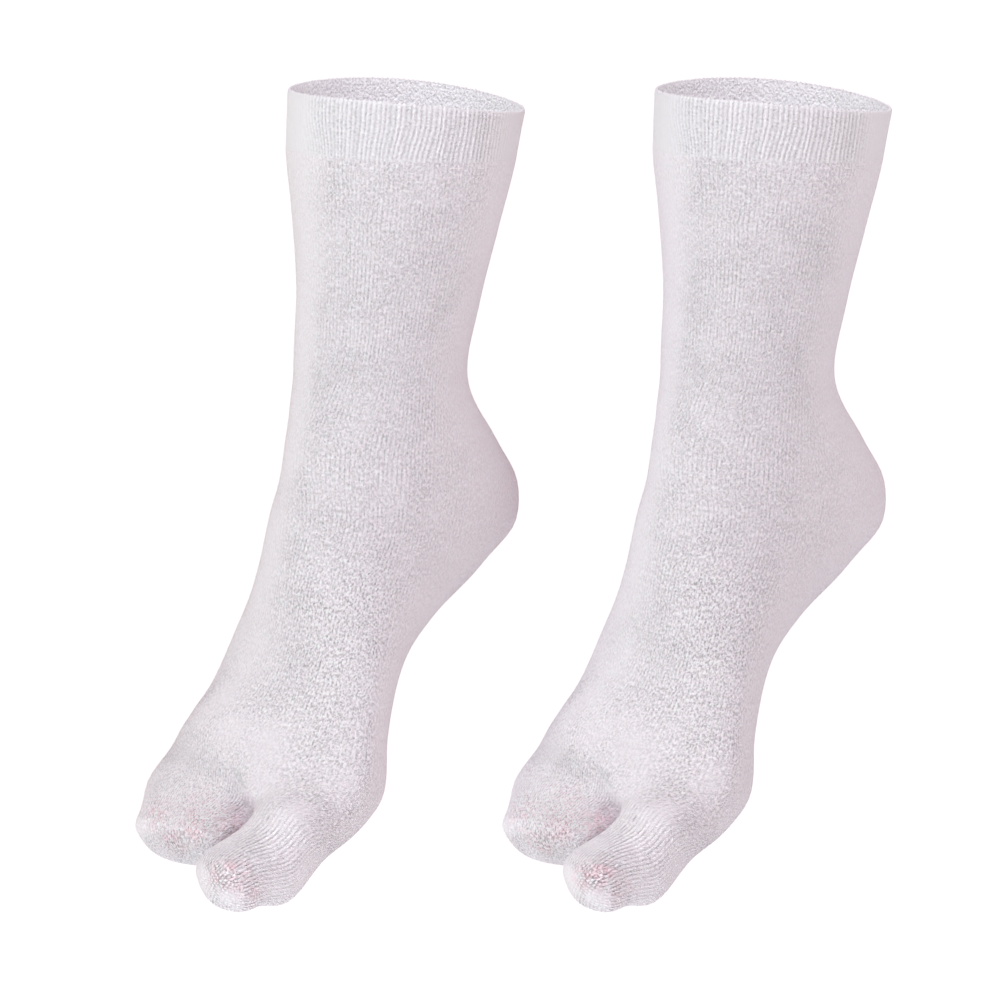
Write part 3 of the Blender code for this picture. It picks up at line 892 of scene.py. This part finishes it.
def addKnit(tree, look, place):
    # the stitches and what makes them uneven
    yarn = cotton["yarn"]
    stitches = addNode(tree, "ShaderNodeUVMap", uv_map="stitches").outputs["UV"]

    # yarn is never quite even, so the stitches are pushed about a little
    sway = addNode(tree, "ShaderNodeTexNoise",
                   {"Vector": place, "Scale": yarn["sway"], "Detail": 2.0})
    sway = addNode(tree, "ShaderNodeVectorMath", {0: sway.outputs["Color"], 1: (0.5, 0.5, 0.5)},
                   operation="SUBTRACT").outputs[0]
    sway = addNode(tree, "ShaderNodeVectorMath", {0: sway, 1: (0.35, 0.9, 0.0)},
                   operation="MULTIPLY").outputs[0]
    moved = addNode(tree, "ShaderNodeVectorMath", {0: stitches, 1: sway}, operation="ADD")
    parts = addNode(tree, "ShaderNodeSeparateXYZ", {0: moved.outputs[0]})
    side = addMaths(tree, "PINGPONG", parts.outputs["X"], 0.5)
    side = addMaths(tree, "MULTIPLY", side, 2.0)
    phase = addMaths(tree, "MULTIPLY_ADD", side, look["stitchLean"], parts.outputs["Y"])
    loop = addMaths(tree, "SINE", addMaths(tree, "MULTIPLY", phase, math.pi))
    loop = addMaths(tree, "POWER", addMaths(tree, "ABSOLUTE", loop), 0.6)
    limb = addMaths(tree, "SINE", addMaths(tree, "MULTIPLY", side, math.pi))
    limb = addMaths(tree, "POWER", addMaths(tree, "ABSOLUTE", limb), 0.7)
    stitch = addMaths(tree, "MULTIPLY", loop, addMaths(tree, "MULTIPLY_ADD", limb, 0.6, 0.4))

    # loose streaks along the wales, stronger in some patches than in others
    run = addNode(tree, "ShaderNodeVectorMath", {0: stitches, 1: look["streaks"]},
                  operation="MULTIPLY").outputs[0]
    streak = addNode(tree, "ShaderNodeTexNoise",
                     {"Vector": run, "Scale": 1.0, "Detail": 1.5, "Roughness": 0.55})
    streak = addNode(tree, "ShaderNodeMapRange",
                     {"Value": streak.outputs["Fac"], "From Min": 0.3, "From Max": 0.68},
                     interpolation_type="SMOOTHSTEP").outputs[0]
    fluff = addNode(tree, "ShaderNodeTexNoise",
                    {"Vector": place, "Scale": yarn["fluff"], "Detail": 2.0, "Roughness": 0.6})
    fluff = addNode(tree, "ShaderNodeMapRange",
                    {"Value": fluff.outputs["Fac"], "From Min": 0.32, "From Max": 0.68}).outputs[0]
    worn = addNode(tree, "ShaderNodeTexNoise",
                   {"Vector": place, "Scale": yarn["worn"], "Detail": 2.0})
    worn = addNode(tree, "ShaderNodeMapRange",
                   {"Value": worn.outputs["Fac"], "From Min": 0.38, "From Max": 0.62,
                    "To Min": 0.82, "To Max": 1.08}).outputs[0]
    still = readNote(tree, "smooth")
    worn = addMaths(tree, "MULTIPLY", worn, addMaths(tree, "MULTIPLY_ADD", still, -0.8, 1.0))
    return SimpleNamespace(stitch=stitch, streak=streak, fluff=fluff, worn=worn)


def addKnitBump(tree, look, knit):
    grainHere = readNote(tree, "grain")
    height = addMaths(tree, "MULTIPLY", knit.stitch, look["stitchHeight"])
    streakSize = addMaths(tree, "MULTIPLY_ADD", grainHere, -0.35, 1.0)
    streakSize = addMaths(tree, "MULTIPLY", streakSize, look["streakHeight"])
    height = addMaths(tree, "MULTIPLY_ADD", knit.streak, streakSize, height)
    grainSize = addMaths(tree, "MULTIPLY_ADD", grainHere, 0.8, 0.8)
    grainSize = addMaths(tree, "MULTIPLY", grainSize, look["grainHeight"])
    height = addMaths(tree, "MULTIPLY_ADD", knit.fluff, grainSize, height)
    height = addMaths(tree, "MULTIPLY", height, knit.worn)
    return addNode(tree, "ShaderNodeBump", {"Strength": 1.0, "Distance": 1.0, "Height": height})


def addPaintedKnitShade(tree, look, knit):
    # painted shade in the hollows between stitches and between wales, and painted highlight on
    # their tops, then the painted light and shade of the lift
    relief = readNote(tree, "relief")
    paintedShadeStrength = readNote(tree, "paintedShadeStrength")
    # the fine grain: real unevenness of the yarn, with painted shade in the stitches' hollows and
    # painted highlight on their tops
    grainAndPaintedShade = addMaths(tree, "MULTIPLY", knit.stitch, 0.2)
    grainAndPaintedShade = addMaths(tree, "MULTIPLY_ADD", knit.streak, 0.5, grainAndPaintedShade)
    grainAndPaintedShade = addMaths(tree, "MULTIPLY_ADD", knit.fluff, 0.4, grainAndPaintedShade)
    grainAndPaintedShade = addMaths(tree, "SUBTRACT", grainAndPaintedShade, 0.55)
    grainAndPaintedShade = addMaths(tree, "MULTIPLY", addMaths(tree, "MULTIPLY", grainAndPaintedShade, knit.worn), look["specksAndPaintedShade"])
    grainAndPaintedShade = addMaths(tree, "MULTIPLY", grainAndPaintedShade, readNote(tree, "specksAndPaintedShade"))
    level = addMaths(tree, "MULTIPLY_ADD", addMaths(tree, "SUBTRACT", relief, 0.7),
                     addMaths(tree, "MULTIPLY", paintedShadeStrength, look["paintedHollowShade"]), grainAndPaintedShade)
    level = addMaths(tree, "ADD", addMaths(tree, "MULTIPLY_ADD", knit.worn, 0.08, 0.92), level)
    return addMaths(tree, "ADD", level, readNote(tree, "paintedLift"))


def knitMaterial(name, look):
    yarn = cotton["yarn"]
    material = bpy.data.materials.new(name)
    material.use_nodes = True
    tree = material.node_tree
    shader = tree.nodes["Principled BSDF"]
    place = addNode(tree, "ShaderNodeTexCoord").outputs["Object"]
    knit = addKnit(tree, look, place)
    bump = addKnitBump(tree, look, knit)
    level = addPaintedKnitShade(tree, look, knit)

    # the cotton's white, scaled by the painted shade and light of the knit, pink where dyed threads
    # show
    shade = addNode(tree, "ShaderNodeVectorMath", {0: (*look["colour"],), 3: level},
                    operation="SCALE")
    blush = readNote(tree, "blush")
    uneven = addNode(tree, "ShaderNodeTexNoise",
                     {"Vector": place, "Scale": yarn["pinkThread"], "Detail": 3.0})
    uneven = addNode(tree, "ShaderNodeMapRange",
                     {"Value": uneven.outputs["Fac"], "From Min": 0.35, "From Max": 0.62,
                      "To Min": 0.1, "To Max": 1.1}).outputs[0]
    pink = addNode(tree, "ShaderNodeMix",
                   {0: addMaths(tree, "MULTIPLY", blush, uneven), 6: (1, 1, 1, 1),
                    7: (*look["blush"], 1)}, data_type="RGBA")
    tint = addNode(tree, "ShaderNodeMix", {0: 1.0, 6: shade.outputs[0], 7: pink.outputs[2]},
                   data_type="RGBA", blend_type="MULTIPLY")
    tree.links.new(tint.outputs[2], shader.inputs["Base Color"])
    tree.links.new(bump.outputs["Normal"], shader.inputs["Normal"])

    # painted glow, for light that comes through the cloth
    paintedGlowStrength = addMaths(tree, "MULTIPLY", readNote(tree, "inner"), level)
    paintedGlowStrength = addMaths(tree, "MULTIPLY", paintedGlowStrength, look["paintedGlow"])
    tree.links.new(paintedGlowStrength, shader.inputs["Emission Strength"])
    shader.inputs["Emission Color"].default_value = (*yarn["paintedGlowColour"], 1)
    shader.inputs["Roughness"].default_value = yarn["roughness"]
    shader.inputs["Specular IOR Level"].default_value = yarn["specular"]
    shader.inputs["Sheen Weight"].default_value = yarn["sheen"]
    shader.inputs["Sheen Roughness"].default_value = yarn["sheenRoughness"]
    return material


plainKnit = knitMaterial("plainKnit", cotton["plain"])
ribbedKnit = knitMaterial("ribbedKnit", cotton["ribbed"])
print("cotton ready")


def copyAcross(piece, name):
    # the same piece for the second sock, with a mesh of its own
    other = piece.copy()
    other.data = piece.data.copy()
    other.name = name
    other.data.name = name
    places = np.empty(len(other.data.vertices) * 3, np.float32)
    other.data.vertices.foreach_get("co", places)
    places[::3] += pair["span"] * mm
    other.data.vertices.foreach_set("co", places)
    other.data.update()
    bpy.context.scene.collection.objects.link(other)
    return other


firstLegAndFoot = buildLegAndFoot(plainKnit)
firstCuff = buildCuff(ribbedKnit)
secondLegAndFoot = copyAcross(firstLegAndFoot, "secondLegAndFoot")
secondCuff = copyAcross(firstCuff, "secondCuff")

for legPiece, cuffPiece, side in (
    (firstLegAndFoot, firstCuff, "first"),
    (secondLegAndFoot, secondCuff, "second"),
):
    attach(legPiece, "root")
    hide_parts(side + "_sock_body")
    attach(cuffPiece, "root")
    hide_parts(side + "_sock_cuff")
print("pair placed")

# studio

studio = {  # metres and watts
    "target": (-0.0371, -0.0233, -0.1658),
    "floorHeight": -1.1,
    "floorSize": 40.0,
    "surround": (1.0, 0.7, 0.795),
    "surroundStrength": 0.402,
    "paperColour": (0.82, 0.9, 0.87),
    "paperRoughness": 0.9,
    "paperGlow": 0.35,
    "backdropGlow": 0.8,
    "glowStarts": 3.0,  # the paper shines beyond this distance, where it is the backdrop
    "glowFull": 5.0,
    "front": {"at": (-0.6, -1.05, -0.9), "power": 12.1, "colour": (0.81, 0.995, 1.0)},
    "top": {"at": (-0.46, -0.61, 1.29), "power": 11.2, "colour": (0.787, 0.9, 1.0)},
    "corner": {"at": (0.83, -0.53, 1.13), "power": 7.1, "colour": (0.88, 1.0, 0.9)},
    "left": {"at": (-1.21, -0.45, 0.76), "power": 2.8, "colour": (0.6, 1.0, 0.4)},
    "right": {"at": (1.49, 0.15, 0.0), "power": 1.0, "colour": (0.35, 0.85, 1.0)},
    "lampSize": 0.9,
}
target = Vector(studio["target"])

bpy.ops.mesh.primitive_plane_add(size=studio["floorSize"], location=(0, 0, studio["floorHeight"]))
floor = bpy.context.object
floor.name = "floor"
paper = bpy.data.materials.new("paper")
paper.use_nodes = True
paperShader = paper.node_tree.nodes["Principled BSDF"]
paperShader.inputs["Base Color"].default_value = (*studio["paperColour"], 1)
paperShader.inputs["Roughness"].default_value = studio["paperRoughness"]
paperShader.inputs["Emission Color"].default_value = (1, 1, 1, 1)
fromMiddle = addNode(paper.node_tree, "ShaderNodeTexCoord").outputs["Object"]
fromMiddle = addNode(paper.node_tree, "ShaderNodeVectorMath", {0: fromMiddle}, operation="LENGTH")
paperGlow = addNode(paper.node_tree, "ShaderNodeMapRange",
                    {"Value": fromMiddle.outputs["Value"], "From Min": studio["glowStarts"],
                     "From Max": studio["glowFull"], "To Min": studio["paperGlow"],
                     "To Max": studio["backdropGlow"]},
                    interpolation_type="SMOOTHSTEP").outputs[0]
paper.node_tree.links.new(paperGlow, paperShader.inputs["Emission Strength"])
floor.data.materials.append(paper)

world = bpy.data.worlds.new("studio")
bpy.context.scene.world = world
world.use_nodes = True
worldTree = world.node_tree
around = worldTree.nodes["Background"]
around.inputs["Color"].default_value = (*studio["surround"], 1)
around.inputs["Strength"].default_value = studio["surroundStrength"]
white = addNode(worldTree, "ShaderNodeBackground", {"Color": (1, 1, 1, 1), "Strength": 1.0})
seen = addNode(worldTree, "ShaderNodeLightPath")
either = addNode(worldTree, "ShaderNodeMixShader",
                 {0: seen.outputs["Is Camera Ray"], 1: around.outputs[0], 2: white.outputs[0]})
worldTree.links.new(either.outputs[0], worldTree.nodes["World Output"].inputs["Surface"])


def addSoftbox(name, look):
    spot = target + Vector(look["at"])
    aim = (target - spot).to_track_quat("-Z", "Y").to_euler()
    bpy.ops.object.light_add(type="AREA", location=spot, rotation=aim)
    lamp = bpy.context.object
    lamp.name = name
    lamp.data.shape = "DISK"
    lamp.data.size = studio["lampSize"]
    lamp.data.energy = look["power"]
    lamp.data.color = look["colour"]
    lamp.visible_camera = False


for lampName in ("front", "top", "corner", "left", "right"):
    addSoftbox(lampName, studio[lampName])

lens = {"elevation": 8.0, "width": 0.415415, "distance": 2.5, "nearest": 0.05, "furthest": 60.0}
tilt = math.radians(lens["elevation"])
back = Vector((0, -math.cos(tilt), math.sin(tilt)))
bpy.ops.object.camera_add(
    location=target + back * lens["distance"],
    rotation=(-back).to_track_quat("-Z", "Y").to_euler(),
)
camera = bpy.context.object
camera.name = "camera"
camera.data.type = "ORTHO"
camera.data.ortho_scale = lens["width"]
camera.data.clip_start = lens["nearest"]
camera.data.clip_end = lens["furthest"]
bpy.context.scene.camera = camera
bpy.context.scene.view_settings.view_transform = "Standard"
bpy.context.scene.view_settings.look = "None"
print("studio ready")

bpy.context.view_layer.update()
